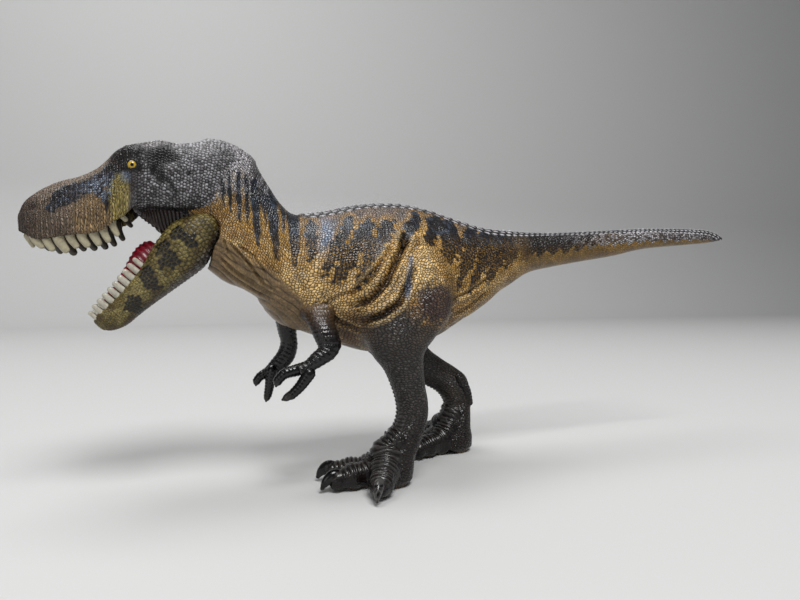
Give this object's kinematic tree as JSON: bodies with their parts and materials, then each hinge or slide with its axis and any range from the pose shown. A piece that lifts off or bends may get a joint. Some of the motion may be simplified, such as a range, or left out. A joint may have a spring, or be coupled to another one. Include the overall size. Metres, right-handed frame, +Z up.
{
  "type": "toy dinosaur figure",
  "caption": "Painted vinyl toy tyrannosaur that stands on its two feet, with an open mouth, small clawed arms, a long level tail and a lower jaw that hinges open and shut.",
  "frame": {"origin": "middle of the figure's bounding box on the ground, under the front of the thighs", "axes": "+X towards the tail's tip, so the head points along -X; -Y is the figure's left side; +Z up"},
  "size_m": [0.3412, 0.0864, 0.1405],
  "materials": {
    "body_vinyl": "satin, painted",
    "tail_vinyl": "satin, painted",
    "head_vinyl": "matte, painted",
    "lining_vinyl": "matte",
    "upper_teeth_vinyl": "gloss",
    "eye_plastic": "gloss, painted",
    "leg_vinyl": "satin, painted",
    "arm_vinyl": "gloss, painted",
    "pin_steel": "plain",
    "jaw_vinyl": "satin, painted",
    "lower_teeth_vinyl": "gloss",
    "tongue_vinyl": "gloss, painted"
  },
  "bodies": {
    "figure": {"torso": "body_vinyl", "tail": "tail_vinyl", "head_shell": "head_vinyl", "mouth_lining": "lining_vinyl", "upper_teeth": "upper_teeth_vinyl", "left_eye": "eye_plastic", "right_eye": "eye_plastic", "left_leg": "leg_vinyl", "right_leg": "leg_vinyl", "left_arm": "arm_vinyl", "right_arm": "arm_vinyl", "jaw_pin": "pin_steel"},
    "jaw": {"lower_jaw": "jaw_vinyl", "lower_teeth": "lower_teeth_vinyl", "tongue": "tongue_vinyl"}
  },
  "joints": [
    {"name": "jaw_hinge", "type": "hinge", "parent": "figure", "child": "jaw", "pos_m": [-0.10958, 0, 0.10462], "axis": [0, 1, 0], "range_deg": [-4, 30]}
  ]
}
